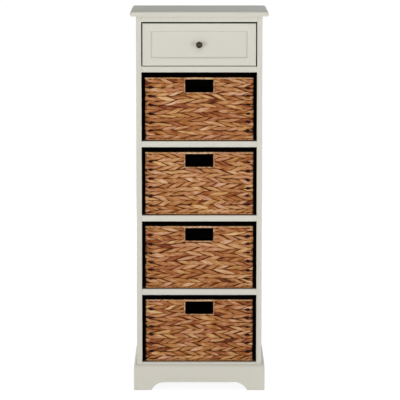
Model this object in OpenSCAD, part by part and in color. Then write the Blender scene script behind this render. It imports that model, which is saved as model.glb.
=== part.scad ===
// Tall narrow storage cabinet: one drawer above four plaited baskets, on an arched plinth.
// X runs left to right, Y front to back and Z up. The origin is on the floor, at the middle
// of the space that the closed cabinet takes up. All sizes are in millimetres.

/* [Carcass] */
// Width over the outside of the two side panels
cabinet_width = 384; // [330:2:450]
// Depth from the front edges of the side panels to the back
cabinet_depth = 312; // [280:2:360]
// Thickness of each side panel
side_thickness = 16; // [15:1:20]
// Thickness of every shelf, the drawer shelf and the bottom board
shelf_thickness = 18; // [16:1:22]
// Clear height of each basket bay
bay_height = 211; // [185:1:250]
// Thickness of the back panel
back_thickness = 4; // [3:1:6]
// How far the back panel laps onto each side panel
back_lap = 7; // [5:1:9]

/* [Top] */
// Thickness of the top board
top_thickness = 16; // [14:1:22]
// How far the top board stands out at the front and at each side
top_overhang = 18; // [10:1:21]
// Radius of the top board's upper edge
top_edge_radius = 6; // [3:0.5:7]
// Height of the undercut bevel along the top board's lower edge
top_undercut = 5; // [3:0.5:6]
// Height of the rail above the drawer
frieze_height = 17; // [15:1:24]
// Depth of the rail above the drawer, front to back
frieze_depth = 20; // [16:1:30]
// Height of the rail inside the back, under the top
back_rail_height = 60; // [40:1:70]
// Thickness of that back rail
back_rail_thickness = 16; // [14:1:18]
// Width and height of the two cleats that the top is screwed to
cleat_size = 18; // [16:1:20]

/* [Plinth] */
// Height of the plinth boards
plinth_height = 80; // [70:1:100]
// Thickness of the plinth boards, which is also how far they stand out
plinth_thickness = 10; // [8:1:14]
// Height of the bottom board's upper face above the plinth
plinth_reveal = 6; // [4:1:10]
// Width of each foot, from the plinth's corner to the arch
foot_width = 54; // [50:1:70]
// Height of the arches between the feet
arch_height = 25; // [18:1:28]
// Radius of each arch's two ends
arch_radius = 44; // [36:0.5:50]
// Thickness of the plinth board at the back
plinth_back_thickness = 16; // [12:1:18]
// Width of the four corner blocks
corner_block = 24; // [20:1:26]
// Bevel along the plinth's upper edge
plinth_bevel = 6; // [3:0.5:8]

/* [Drawer] */
// Clear height of the drawer's opening
drawer_opening = 135; // [125:1:160]
// Gap at each side of the drawer front
drawer_side_gap = 3.5; // [2:0.5:4]
// Gap above the drawer front
drawer_top_gap = 4.5; // [2:0.5:5]
// Gap below the drawer front
drawer_bottom_gap = 2; // [1.5:0.5:4]
// Thickness of the drawer front's frame
drawer_front_thickness = 18; // [17:1:20]
// Width of the frame's two stiles
drawer_stile = 28; // [27:1:36]
// Height of the frame's two rails
drawer_rail = 25; // [24:1:30]
// Depth of the panel's face behind the frame's face
panel_recess = 6; // [4:0.5:6]
// Thickness of the panel in the drawer front
panel_thickness = 6; // [5:0.5:6]
// Depth of the groove that holds that panel
panel_groove = 7; // [5:0.5:8]
// Bevel round the inside of the frame
frame_bevel = 3; // [1.5:0.5:4]
// Rounding of the drawer front's outer edges
front_edge_radius = 2; // [1:0.5:3]
// Thickness of the drawer's sides and back
drawer_board = 12; // [11:0.5:13]
// Height of the drawer's sides
drawer_box_height = 92; // [85:1:96]
// Height of the drawer's sides above the shelf
drawer_box_lift = 5; // [4:1:8]
// Gap between each drawer side and the carcass
drawer_box_gap = 6; // [5:0.5:7]
// Room behind the drawer, which its two stops take up
drawer_rear_gap = 28; // [12:1:60]
// Thickness of the drawer's bottom
drawer_bottom_thickness = 5; // [3:0.5:6]
// Depth of the grooves that hold the bottom
bottom_groove = 5; // [3:0.5:5]
// Height of the bottom's groove above the lower edge of the sides
bottom_groove_height = 7; // [6:1:9]
// Height of each runner
runner_height = 12; // [10:1:14]
// How far each runner reaches into its groove
runner_grip = 5.5; // [4:0.5:6]
// Height of the runner's underside above the drawer's lower edge
runner_level = 40; // [38:1:46]

/* [Knob] */
// Diameter of the knob's head
knob_diameter = 20; // [18:0.5:30]
// Length of the knob, from the panel to its crown
knob_length = 28; // [26:0.5:34]
// Diameter of the knob's foot, where it meets the panel
knob_foot_diameter = 13; // [11:0.5:16]
// Diameter of the knob's neck
knob_neck_diameter = 9; // [8:0.5:10]
// Diameter of the knob's screw
knob_screw_diameter = 4; // [3:0.5:5]
// Depth of the screw's hole in the knob
knob_screw_depth = 12; // [9:0.5:13]

/* [Baskets] */
// Gap between a basket and each side of its bay
basket_side_gap = 8; // [6:0.5:12]
// Gap between a basket's rim and the shelf above
basket_headroom = 16; // [10:0.5:30]
// Distance of a basket's front behind the carcass's front
basket_setback = 10; // [5:1:20]
// Gap between a basket and the back panel
basket_back_gap = 18; // [10:1:40]
// Thickness of the basket wall at the middle of a plait
wall_thickness = 10; // [9:0.5:12]
// Height of one plait as it is laid round the basket
plait_height = 25.2; // [22:0.2:30]
// Depth of the valley between two plaits
plait_relief = 2.5; // [1.5:0.1:2.8]
// Thickness of the binding round the rim and the foot
binding_thickness = 7; // [6.5:0.1:8]
// Clear width of the hand hole
hand_hole_width = 86; // [70:1:110]
// Clear height of the hand hole
hand_hole_height = 39; // [30:1:50]
// Thickness of the binding round the hand hole
hole_binding_thickness = 5; // [4.5:0.1:6]
// Radius of the basket's upright corners
basket_corner_radius = 10; // [9:0.5:14]
// Thickness of the basket's plaited base
mat_thickness = 6; // [5:0.5:8]
// Diameter of the frame's ring wire
ring_wire = 4; // [3.4:0.1:4.4]
// Diameter of the frame's upright and cross wires
rod_wire = 3; // [2.5:0.1:3.2]

/* [Fixings] */
// Diameter of the dowels in the carcass
carcass_dowel = 8; // [6:0.5:8]
// Diameter of the dowels in the drawer
drawer_dowel = 6; // [5:0.5:6]
// Diameter of the wood screws' shanks
screw_shank = 4; // [3:0.5:4.5]
// Diameter of the wood screws' heads
screw_head = 8; // [7:0.5:9]
// Diameter of the back panel's pins
pin_diameter = 2; // [1.5:0.1:2.5]
// Running gap of what slides, such as the drawer and the baskets
slide_gap = 0.3; // [0.2:0.05:0.6]
// Clearance round dowels, screws and wires in their holes
hole_clearance = 0.1; // [0.05:0.01:0.2]

/* [Hidden] */
bays = 4;
basket_pieces = ["weave", "binding", "hole_binding", "mat", "wire_frame"];

// Colours
paint = [0.84, 0.83, 0.77];
bare_wood = [0.86, 0.74, 0.56];
plywood = [0.80, 0.68, 0.50];
hyacinth = [0.66, 0.45, 0.28];
twine = [0.78, 0.60, 0.42];
zinc = [0.72, 0.73, 0.74];
bronze = [0.25, 0.22, 0.18];

// Heights
inner_width = cabinet_width - 2 * side_thickness;
bay_pitch = bay_height + shelf_thickness;
bottom_top = plinth_height + plinth_reveal;
bottom_underside = bottom_top - shelf_thickness;
drawer_floor = bottom_top + bays * bay_pitch;
drawer_roof = drawer_floor + drawer_opening;
top_underside = drawer_roof + frieze_height;

// Depths: the knob, the top or the plinth stands furthest out, and the origin is half way back
front_reach = max(knob_length - panel_recess, top_overhang, plinth_thickness);
front = front_reach - (front_reach + cabinet_depth) / 2;
back = front + cabinet_depth;
back_inside = back - back_thickness;

// Drawer
face_low = drawer_floor + drawer_bottom_gap;
face_high = drawer_roof - drawer_top_gap;
face_half = inner_width / 2 - drawer_side_gap;
panel_half = face_half - drawer_stile;
panel_low = face_low + drawer_rail;
panel_high = face_high - drawer_rail;
panel_face = front + panel_recess;
frame_back = front + drawer_front_thickness;
box_half = inner_width / 2 - drawer_box_gap;
box_inside = box_half - drawer_board;
box_low = drawer_floor + drawer_box_lift;
box_high = box_low + drawer_box_height;
box_back = back_inside - drawer_rear_gap;
bottom_low = box_low + bottom_groove_height;
bottom_high = bottom_low + drawer_bottom_thickness;
runner_low = box_low + runner_level;
runner_high = runner_low + runner_height;
runner_front_gap = 4;
runner_play = 0.5;
runner_front = frame_back + runner_front_gap;
runner_back = back_inside - 8;
knob_height = (face_low + face_high) / 2;
panel_play = 0.5;
stop_width = 26;
stop_height = 28;

// Dowels and screws
dowel_end_play = 0.5;
dowel_in_side = 11;
dowel_in_shelf = 21;
dowel_edge = 42;
shelf_dowel_places = [front + dowel_edge, (front + back_inside) / 2, back_inside - dowel_edge];
shelf_tops = [for (i = [0 : bays]) bottom_top + i * bay_pitch];
rail_dowel_inset = 15;
drawer_dowel_in_front = 11;
drawer_dowel_in_side = 20;
drawer_dowel_in_board = 8;
drawer_dowel_heights = [box_low + 22, box_high - 16];
screw_head_height = 3;
screw_in_top = 10;
screw_in_side = 11;
screw_in_plinth = 7;
cleat_screw_inset = 40;
runner_screw_inset = 25;
pin_length = 14;
pin_head = 4;
pin_head_height = 0.6;
pin_pitch_target = 180;

// Top edge
undercut_depth = 2;
arc_steps = 8;

// Baskets
basket_width = inner_width - 2 * basket_side_gap;
basket_depth = cabinet_depth - back_thickness - basket_setback - basket_back_gap;
basket_height = bay_height - basket_headroom - slide_gap;
basket_front = front + basket_setback;
basket_middle = basket_front + basket_depth / 2;
weave_low = binding_thickness;
weave_high = basket_height - binding_thickness;
plaits = max(3, round((weave_high - weave_low) / plait_height));
mat_plaits = max(3, round((basket_depth - 2 * wall_thickness) / plait_height));
mid_wall = wall_thickness / 2;
binding_relief = 1;
mat_relief = 1.5;
mat_edge_gap = 0.2;
rim_wire_level = basket_height - binding_thickness / 2;
foot_wire_level = binding_thickness / 2;
mat_low = foot_wire_level + rod_wire / 2 + hole_clearance;
hole_low = weave_high - hand_hole_height;
cross_wire_count = 3;
wire_bend = basket_corner_radius - mid_wall;
loop_bend = 4;
bulge_steps = 6;
corner_steps = 4;
overshoot = 1;

// Points of a circular arc, from angle a to angle b
function arc(cx, cy, r, a, b, n = arc_steps) =
    [for (i = [0 : n]) [cx + r * cos(a + (b - a) * i / n), cy + r * sin(a + (b - a) * i / n)]];

// A box given by its two ends along each axis
module block(x, y, z) {
    translate([x[0], y[0], z[0]]) cube([x[1] - x[0], y[1] - y[0], z[1] - z[0]]);
}

// A profile drawn in Y and Z, carried along X
module along_x(x) {
    translate([x[0], 0, 0]) rotate([90, 0, 90]) linear_extrude(x[1] - x[0]) children();
}

// A profile drawn in X and Z, carried along Y
module along_y(y) {
    translate([0, y[1], 0]) rotate([90, 0, 0]) linear_extrude(y[1] - y[0]) children();
}

// A round rod from p, of length l, along X, Y or Z
module rod_x(p, l, d) {
    translate(p) rotate([0, 90, 0]) cylinder(h = l, d = d, $fn = 32);
}
module rod_y(p, l, d) {
    translate(p) rotate([-90, 0, 0]) cylinder(h = l, d = d, $fn = 32);
}
module rod_z(p, l, d) {
    translate(p) cylinder(h = l, d = d, $fn = 32);
}

// What is drawn, with its mirror image across the cabinet
module both_sides() {
    children();
    mirror([1, 0, 0]) children();
}

// Carcass

// Top board: quarter-round above and a shallow undercut below, on the front and both ends.
// The two profiles meet in mitres at the front corners.
module top_board() {
    half = cabinet_width / 2 + top_overhang;
    lip = front - top_overhang;
    straight = top_thickness - top_edge_radius;
    r = top_edge_radius;
    color(paint) translate([0, 0, top_underside]) difference() {
        intersection() {
            along_x([-half, half]) polygon(concat(
                [[back, 0], [lip + undercut_depth, 0], [lip, top_undercut]],
                arc(lip + r, straight, r, 180, 90),
                [[back, top_thickness]]));
            along_y([lip, back]) polygon(concat(
                [[half - undercut_depth, 0], [-half + undercut_depth, 0], [-half, top_undercut]],
                arc(-half + r, straight, r, 180, 90),
                arc(half - r, straight, r, 90, 0),
                [[half, top_undercut]]));
        }
        translate([0, 0, -top_underside]) top_screw_holes();
    }
}

// Opening between two feet: a flat head with a quarter bend of arch_radius at each end
module arch(span) {
    run = sqrt(pow(arch_radius, 2) - pow(arch_radius - arch_height, 2));
    start = 180 - asin((arch_radius - arch_height) / arch_radius);
    polygon(concat(
        [[span / 2, -overshoot], [-span / 2, -overshoot]],
        arc(-span / 2 + run, arch_height - arch_radius, arch_radius, start, 90),
        arc(span / 2 - run, arch_height - arch_radius, arch_radius, 90, 180 - start)));
}

front_span = cabinet_width + 2 * plinth_thickness - 2 * foot_width;
side_span = cabinet_depth + plinth_thickness - 2 * foot_width;
side_span_middle = (front - plinth_thickness + back) / 2;

module side_arch(x) {
    along_x(x) translate([side_span_middle, 0]) arch(side_span);
}

// Dowels of the left-hand ends of the shelves and rails, or their holes when drawn with a clearance
module left_dowels(clear = 0, end_play = 0) {
    length = dowel_in_side + dowel_in_shelf - 2 * dowel_end_play + 2 * end_play;
    start = -inner_width / 2 - dowel_in_side + dowel_end_play - end_play;
    for (z = shelf_tops, y = shelf_dowel_places)
        rod_x([start, y, z - shelf_thickness / 2], length, carcass_dowel + 2 * clear);
    rod_x([start, front + frieze_depth / 2, drawer_roof + frieze_height / 2], length,
        carcass_dowel + 2 * clear);
    for (z = [top_underside - back_rail_height + rail_dowel_inset, top_underside - rail_dowel_inset])
        rod_x([start, back_inside - back_rail_thickness / 2, z], length, carcass_dowel + 2 * clear);
}

module carcass_dowels() {
    color(bare_wood) both_sides() left_dowels();
}

module dowel_holes() {
    both_sides() left_dowels(hole_clearance, dowel_end_play);
}

// Side panel: runs from the top board to the floor, arched between its two feet, and rebated
// at the back for the back panel
module left_side_panel() {
    outer = -cabinet_width / 2;
    inner = -inner_width / 2;
    color(paint) difference() {
        block([outer, inner], [front, back], [0, top_underside]);
        block([inner - back_lap, inner + overshoot], [back_inside, back + overshoot],
            [bottom_underside, top_underside + overshoot]);
        side_arch([outer - overshoot, inner + overshoot]);
        left_dowels(hole_clearance, dowel_end_play);
        left_runner_screws(hole_clearance);
    }
}

module back_panel() {
    half = inner_width / 2 + back_lap;
    color(paint) difference() {
        block([-half, half], [back_inside, back], [bottom_underside, top_underside]);
        pins(hole_clearance);
    }
}

module frieze_rail() {
    color(paint) difference() {
        block([-inner_width / 2, inner_width / 2], [front, front + frieze_depth],
            [drawer_roof, top_underside]);
        dowel_holes();
    }
}

module back_rail() {
    color(bare_wood) difference() {
        block([-inner_width / 2, inner_width / 2], [back_inside - back_rail_thickness, back_inside],
            [top_underside - back_rail_height, top_underside]);
        dowel_holes();
        pins(hole_clearance);
    }
}

// One shelf, counted from 0 at the bottom board
module shelf(i) {
    color(paint) difference() {
        block([-inner_width / 2, inner_width / 2], [front, back_inside],
            [shelf_tops[i] - shelf_thickness, shelf_tops[i]]);
        dowel_holes();
        pins(hole_clearance);
    }
}

module left_top_cleat() {
    inner = -inner_width / 2;
    color(bare_wood) difference() {
        block([inner, inner + cleat_size], [front + frieze_depth, back_inside - back_rail_thickness],
            [top_underside - cleat_size, top_underside]);
        top_screw_holes();
    }
}

// Plinth

// Front board: laps over both side boards, arched, with a bevelled upper edge
module plinth_front() {
    half = cabinet_width / 2 + plinth_thickness;
    face = front - plinth_thickness;
    color(paint) difference() {
        intersection() {
            along_x([-half, half]) polygon([
                [front, 0], [face, 0], [face, plinth_height - plinth_bevel],
                [face + plinth_bevel, plinth_height], [front, plinth_height]]);
            along_y([face, front]) polygon([
                [-half, 0], [half, 0], [half, plinth_height - plinth_bevel],
                [half - plinth_bevel, plinth_height], [-half + plinth_bevel, plinth_height],
                [-half, plinth_height - plinth_bevel]]);
        }
        along_y([face - overshoot, front + overshoot]) arch(front_span);
        block_screws_y(hole_clearance);
    }
}

module left_plinth_side() {
    inner = -cabinet_width / 2;
    outer = inner - plinth_thickness;
    color(paint) difference() {
        along_y([front, back]) polygon([
            [inner, 0], [outer, 0], [outer, plinth_height - plinth_bevel],
            [outer + plinth_bevel, plinth_height], [inner, plinth_height]]);
        side_arch([outer - overshoot, inner + overshoot]);
    }
}

module plinth_back() {
    color(paint) difference() {
        block([-inner_width / 2, inner_width / 2], [back - plinth_back_thickness, back],
            [0, bottom_underside]);
        along_y([back - plinth_back_thickness - overshoot, back + overshoot]) arch(front_span);
        block_screws_y(hole_clearance);
    }
}

// The two left-hand corner blocks: behind the front board and in front of the back board
block_foot_gap = 1;
left_blocks_y = [[front, front + corner_block],
    [back - plinth_back_thickness - corner_block, back - plinth_back_thickness]];
module left_corner_blocks() {
    inner = -inner_width / 2;
    for (y = left_blocks_y)
        block([inner, inner + corner_block], y, [block_foot_gap, bottom_underside]);
}

module corner_blocks() {
    color(bare_wood) difference() {
        both_sides() left_corner_blocks();
        block_screws_y(hole_clearance);
    }
}

// Screws and pins

// A countersunk wood screw along +Z: its head's face is at the origin
module screw(length, clear = 0) {
    cylinder(h = length, d = screw_shank + 2 * clear, $fn = 32);
    cylinder(h = screw_head_height, d1 = screw_head + 2 * clear, d2 = screw_shank + 2 * clear,
        $fn = 32);
}

cleat_screw_places = [front + frieze_depth + cleat_screw_inset, (front + back) / 2,
    back_inside - back_rail_thickness - cleat_screw_inset];
module left_top_screws(clear = 0) {
    for (y = cleat_screw_places)
        translate([-inner_width / 2 + cleat_size / 2, y, top_underside - cleat_size])
            screw(cleat_size + screw_in_top, clear);
}

module top_screws() {
    color(zinc) both_sides() left_top_screws();
}

module top_screw_holes() {
    both_sides() left_top_screws(hole_clearance);
}

runner_width = drawer_box_gap + runner_grip;
runner_screw_places = [runner_front + runner_screw_inset, (runner_front + runner_back) / 2,
    runner_back - runner_screw_inset];
module left_runner_screws(clear = 0) {
    for (y = runner_screw_places)
        translate([-inner_width / 2 + runner_width, y, (runner_low + runner_high) / 2])
            rotate([0, -90, 0]) screw(runner_width + screw_in_side, clear);
}

module runner_screws() {
    color(zinc) both_sides() left_runner_screws();
}

// Screws through each corner block, forwards into the front board or back into the back board
block_screw_height = (block_foot_gap + bottom_underside) / 2;
module left_block_screws_y(clear = 0) {
    x = -inner_width / 2 + corner_block / 2;
    translate([x, left_blocks_y[0][1], block_screw_height])
        rotate([90, 0, 0]) screw(corner_block + screw_in_plinth, clear);
    translate([x, left_blocks_y[1][0], block_screw_height])
        rotate([-90, 0, 0]) screw(corner_block + screw_in_plinth, clear);
}

module block_screws_y(clear = 0) {
    both_sides() left_block_screws_y(clear);
}

module block_screws() {
    color(zinc) block_screws_y();
}

// Pins through the back panel into each shelf and into the back rail
pin_rows = concat([for (z = shelf_tops) z - shelf_thickness / 2],
    [top_underside - back_rail_height / 2]);
pins_in_row = max(2, round(inner_width / pin_pitch_target) + 1);
module pins(clear = 0) {
    pitch = inner_width / pins_in_row;
    for (z = pin_rows, i = [0 : pins_in_row - 1]) {
        x = (i + 0.5) * pitch - inner_width / 2;
        rod_y([x, back - pin_length, z], pin_length, pin_diameter + 2 * clear);
        rod_y([x, back - pin_head_height, z], pin_head_height, pin_head + 2 * clear);
    }
}

module back_panel_pins() {
    color(zinc) pins();
}

// Drawer

// Runner: a batten screwed to the side panel, which the drawer's grooved side hangs on
module left_drawer_runner() {
    inner = -inner_width / 2;
    color(bare_wood) difference() {
        block([inner, inner + runner_width], [runner_front, runner_back], [runner_low, runner_high]);
        left_runner_screws(hole_clearance);
    }
}

// Two blocks on the drawer shelf that the drawer's sides meet when its face is flush
module drawer_stops() {
    inner = -inner_width / 2;
    color(bare_wood) both_sides()
        block([inner, inner + stop_width], [box_back + slide_gap, back_inside],
            [drawer_floor, drawer_floor + stop_height]);
}

// The drawer front as one block, with rounded outer edges at its face
module drawer_front_blank() {
    r = front_edge_radius;
    intersection() {
        along_x([-face_half, face_half]) polygon(concat(
            [[frame_back, face_low], [frame_back, face_high]],
            arc(front + r, face_high - r, r, 90, 180),
            arc(front + r, face_low + r, r, 180, 270)));
        along_z([face_low, face_high]) polygon(concat(
            [[face_half, frame_back], [-face_half, frame_back]],
            arc(-face_half + r, front + r, r, 180, 270),
            arc(face_half - r, front + r, r, 270, 360)));
    }
}

// A profile drawn in X and Y, carried along Z
module along_z(z) {
    translate([0, 0, z[0]]) linear_extrude(z[1] - z[0]) children();
}

// The bevelled opening of the frame, as a solid to cut away
module panel_window() {
    wide = panel_half + frame_bevel;
    block([-panel_half, panel_half], [front - overshoot, frame_back + overshoot],
        [panel_low, panel_high]);
    intersection() {
        along_x([-wide, wide]) polygon([
            [front, panel_high + frame_bevel], [front + frame_bevel, panel_high],
            [front + frame_bevel, panel_low], [front, panel_low - frame_bevel]]);
        along_z([panel_low - frame_bevel, panel_high + frame_bevel]) polygon([
            [-wide, front], [wide, front],
            [panel_half, front + frame_bevel], [-panel_half, front + frame_bevel]]);
    }
}

module panel_slot() {
    block([-panel_half - panel_groove, panel_half + panel_groove],
        [panel_face, panel_face + panel_thickness],
        [panel_low - panel_groove, panel_high + panel_groove]);
}

module left_drawer_stile() {
    color(paint) difference() {
        intersection() {
            drawer_front_blank();
            block([-face_half, -panel_half], [front, frame_back], [face_low, face_high]);
        }
        panel_window();
        block([-panel_half - panel_groove, -panel_half + overshoot],
            [panel_face, panel_face + panel_thickness],
            [face_low - overshoot, face_high + overshoot]);
        drawer_bottom_blank(0);
        left_drawer_dowels(hole_clearance, dowel_end_play);
    }
}

// Rail with a tongue at each end, which fills the stile's groove
module drawer_rail(z) {
    difference() {
        union() {
            intersection() {
                drawer_front_blank();
                block([-panel_half, panel_half], [front, frame_back], z);
            }
            block([-panel_half - panel_groove, panel_half + panel_groove],
                [panel_face, panel_face + panel_thickness], z);
        }
        panel_window();
        panel_slot();
        drawer_bottom_blank(0);
    }
}

module drawer_rail_top() {
    color(paint) drawer_rail([panel_high, face_high]);
}

module drawer_rail_bottom() {
    color(paint) drawer_rail([face_low, panel_low]);
}

module drawer_panel() {
    spread = panel_groove - panel_play;
    color(paint) difference() {
        block([-panel_half - spread, panel_half + spread], [panel_face, panel_face + panel_thickness],
            [panel_low - spread, panel_high + spread]);
        knob_screw_rod(hole_clearance);
    }
}

module left_drawer_side() {
    color(bare_wood) difference() {
        block([-box_half, -box_inside], [frame_back, box_back], [box_low, box_high]);
        block([-box_half - overshoot, -box_half + runner_grip + runner_play],
            [runner_front - runner_play - slide_gap, box_back + overshoot],
            [runner_low - runner_play, runner_high + slide_gap]);
        drawer_bottom_blank(0);
        left_drawer_dowels(hole_clearance, dowel_end_play);
    }
}

module drawer_back() {
    color(bare_wood) difference() {
        block([-box_inside, box_inside], [box_back - drawer_board, box_back], [bottom_high, box_high]);
        both_sides() left_drawer_dowels(hole_clearance, dowel_end_play);
    }
}

// The drawer's bottom, in grooves in both sides and in the lower rail, and under the back
module drawer_bottom_blank(play) {
    half = box_inside + bottom_groove - play;
    block([-half, half], [frame_back - bottom_groove + play, box_back + (play > 0 ? 0 : overshoot)],
        [bottom_low, bottom_high]);
}

module drawer_bottom() {
    color(plywood) drawer_bottom_blank(panel_play);
}

// Dowels from the left side into the stile in front of it and into the back
module left_drawer_dowels(clear = 0, end_play = 0) {
    forward = drawer_dowel_in_front - dowel_end_play + end_play;
    length_y = drawer_dowel_in_front + drawer_dowel_in_side - 2 * dowel_end_play + 2 * end_play;
    length_x = drawer_dowel_in_board + drawer_dowel_in_side - 2 * dowel_end_play + 2 * end_play;
    x_start = -box_inside - drawer_dowel_in_board + dowel_end_play - end_play;
    for (z = drawer_dowel_heights) {
        rod_y([-box_half + drawer_board / 2, frame_back - forward, z], length_y,
            drawer_dowel + 2 * clear);
        rod_x([x_start, box_back - drawer_board / 2, z], length_x, drawer_dowel + 2 * clear);
    }
}

module drawer_dowels() {
    color(bare_wood) both_sides() left_drawer_dowels();
}

// Turned knob: a small foot, a waisted neck and a domed head, drilled for its screw
module drawer_knob() {
    foot = 3;
    head = 10;
    rim = 3;
    r = knob_diameter / 2;
    dome = head - rim;
    dome_radius = (r * r + dome * dome) / (2 * dome);
    dome_angle = asin(r / dome_radius);
    color(bronze) difference() {
        translate([0, panel_face, knob_height]) rotate([90, 0, 0]) rotate_extrude($fn = 64)
            polygon(concat(
                [[0, 0], [knob_foot_diameter / 2, 0], [knob_foot_diameter / 2, foot - 1],
                 [knob_neck_diameter / 2, foot + 2], [knob_neck_diameter / 2, knob_length - head - 4],
                 [r - 2, knob_length - head - 1], [r, knob_length - head]],
                arc(0, knob_length - dome_radius, dome_radius, 90 - dome_angle, 90)));
        knob_screw_rod(hole_clearance);
    }
}

knob_screw_head = 9;
knob_screw_head_height = 3;
module knob_screw_rod(clear) {
    rod_y([0, panel_face - knob_screw_depth - clear, knob_height],
        knob_screw_depth + panel_thickness + 2 * clear, knob_screw_diameter + 2 * clear);
}

module knob_screw() {
    color(zinc) {
        knob_screw_rod(0);
        rod_y([0, panel_face + panel_thickness, knob_height], knob_screw_head_height,
            knob_screw_head);
    }
}

// Baskets

// Half a side of the plaited wall, seen end on: one bulge for each plait
function bulges(half, low, high, n, relief, out = 1) =
    let (pitch = (high - low) / n)
    [for (p = [0 : n - 1], i = [0 : bulge_steps])
        [half - out * relief * (1 - sin(180 * i / bulge_steps)),
         low + pitch * (p + (1 - cos(180 * i / bulge_steps)) / 2)]];

function flipped(points) = [for (i = [len(points) - 1 : -1 : 0]) [-points[i][0], points[i][1]]];

// A block whose four upright sides bulge once for each plait, with mitred corners
module plaited_block(w, d, low, high, n, relief, out = 1) {
    side_x = bulges(w / 2, low, high, n, relief, out);
    side_y = bulges(d / 2, low, high, n, relief, out);
    intersection() {
        along_y([-d, d]) polygon(concat(side_x, flipped(side_x)));
        along_x([-w, w]) polygon(concat(side_y, flipped(side_y)));
    }
}

module rounded_block(w, d, r, z) {
    along_z(z) polygon(concat(
        arc(w / 2 - r, d / 2 - r, r, 0, 90, corner_steps),
        arc(-w / 2 + r, d / 2 - r, r, 90, 180, corner_steps),
        arc(-w / 2 + r, -d / 2 + r, r, 180, 270, corner_steps),
        arc(w / 2 - r, -d / 2 + r, r, 270, 360, corner_steps)));
}

// A plaited wall of the given thickness, its middle at the wires, between two heights
module plaited_wall(low, high, n, thickness, relief) {
    inset = mid_wall - thickness / 2;
    w = basket_width - 2 * inset;
    d = basket_depth - 2 * inset;
    difference() {
        intersection() {
            plaited_block(w, d, low, high, n, relief);
            rounded_block(w, d, basket_corner_radius - inset, [low, high]);
        }
        plaited_block(w - 2 * thickness, d - 2 * thickness, low, high, n, relief, -1);
    }
}

// Ring of wire laid flat along the middle of the wall
module wire_ring(z, d) {
    x = basket_width / 2 - basket_corner_radius;
    y = basket_depth / 2 - basket_corner_radius;
    r = wire_bend;
    for (side = [-1, 1]) {
        rod_x([-x, side * (y + r), z], 2 * x, d);
        rod_y([side * (x + r), -y, z], 2 * y, d);
    }
    for (turn = [0 : 3]) {
        right = turn == 0 || turn == 3;
        far = turn < 2;
        translate([right ? x : -x, far ? y : -y, z]) rotate([0, 0, 90 * turn])
            rotate_extrude(angle = 90, $fn = 48) translate([r, 0]) circle(d = d, $fn = 24);
    }
}

// The rings in the rim and in the foot
module rings(clear = 0) {
    wire_ring(rim_wire_level, ring_wire + 2 * clear);
    wire_ring(foot_wire_level, ring_wire + 2 * clear);
}

// Four wires that stand in the corners and join the rings
module uprights(clear = 0) {
    x = basket_width / 2 - basket_corner_radius + wire_bend * cos(45);
    y = basket_depth / 2 - basket_corner_radius + wire_bend * sin(45);
    for (sx = [-1, 1], sy = [-1, 1])
        rod_z([sx * x, sy * y, foot_wire_level], rim_wire_level - foot_wire_level,
            rod_wire + 2 * clear);
}

// Wire that hangs from the front of the rim's ring and bends round the hand hole
module hole_loop(clear = 0) {
    d = rod_wire + 2 * clear;
    x = hand_hole_width / 2 + hole_binding_thickness / 2;
    z = hole_low - hole_binding_thickness / 2;
    y = -basket_depth / 2 + mid_wall;
    rod_x([-x + loop_bend, y, z], 2 * (x - loop_bend), d);
    for (side = [0, 1]) mirror([side, 0, 0]) {
        rod_z([x, y, z + loop_bend], rim_wire_level - z - loop_bend, d);
        translate([x - loop_bend, y, z + loop_bend]) rotate([90, 0, 0])
            rotate_extrude(start = -90, angle = 90, $fn = 48)
                translate([loop_bend, 0]) circle(d = d, $fn = 24);
    }
}

// Wires from front to back, which carry the mat
module cross_wires(clear = 0) {
    for (i = [1 : cross_wire_count])
        rod_y([(i / (cross_wire_count + 1) - 0.5) * (basket_width - wall_thickness),
            -basket_depth / 2 + mid_wall, foot_wire_level], basket_depth - wall_thickness,
            rod_wire + 2 * clear);
}

module wire_frame() {
    color(zinc) {
        rings();
        uprights();
        hole_loop();
        cross_wires();
    }
}

// The hand hole, or what is cut from the weave for it and its binding
module hand_hole(grow) {
    block([-hand_hole_width / 2 - grow, hand_hole_width / 2 + grow],
        [-basket_depth / 2 - overshoot, -basket_depth / 2 + wall_thickness + overshoot],
        [hole_low - grow, weave_high + overshoot]);
}

module weave() {
    color(hyacinth) difference() {
        plaited_wall(weave_low, weave_high, plaits, wall_thickness, plait_relief);
        hand_hole(hole_binding_thickness);
        uprights(hole_clearance);
    }
}

// Bindings wound round the rim's wire and the foot's wire
module binding() {
    color(twine) difference() {
        union() {
            plaited_wall(0, binding_thickness, 1, binding_thickness, binding_relief);
            plaited_wall(weave_high, basket_height, 1, binding_thickness, binding_relief);
        }
        rings(hole_clearance);
        uprights(hole_clearance);
        hole_loop(hole_clearance);
        cross_wires(hole_clearance);
    }
}

// Binding round the two sides and the sill of the hand hole
module hole_binding() {
    inset = mid_wall - binding_thickness / 2;
    outer = hand_hole_width / 2 + hole_binding_thickness;
    color(twine) difference() {
        block([-outer, outer],
            [-basket_depth / 2 + inset, -basket_depth / 2 + inset + binding_thickness],
            [hole_low - hole_binding_thickness, weave_high]);
        hand_hole(0);
        hole_loop(hole_clearance);
    }
}

// Plaited base, laid on the cross wires, with its plaits running from side to side
module mat() {
    half_x = basket_width / 2 - wall_thickness - mat_edge_gap;
    half_y = basket_depth / 2 - wall_thickness - mat_edge_gap;
    pitch = 2 * half_y / mat_plaits;
    crown = [for (p = [0 : mat_plaits - 1], i = [0 : bulge_steps])
        [-half_y + pitch * (p + (1 - cos(180 * i / bulge_steps)) / 2),
         mat_low + mat_thickness - mat_relief * (1 - sin(180 * i / bulge_steps))]];
    color(hyacinth) along_x([-half_x, half_x])
        polygon(concat(crown, [[half_y, mat_low], [-half_y, mat_low]]));
}

// Puts a basket's piece in its bay. Bay 1 is the highest, and each basket rests on its shelf.
module in_bay(i) {
    translate([0, basket_middle, shelf_tops[bays - i] + slide_gap]) children();
}

// What is drawn

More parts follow.
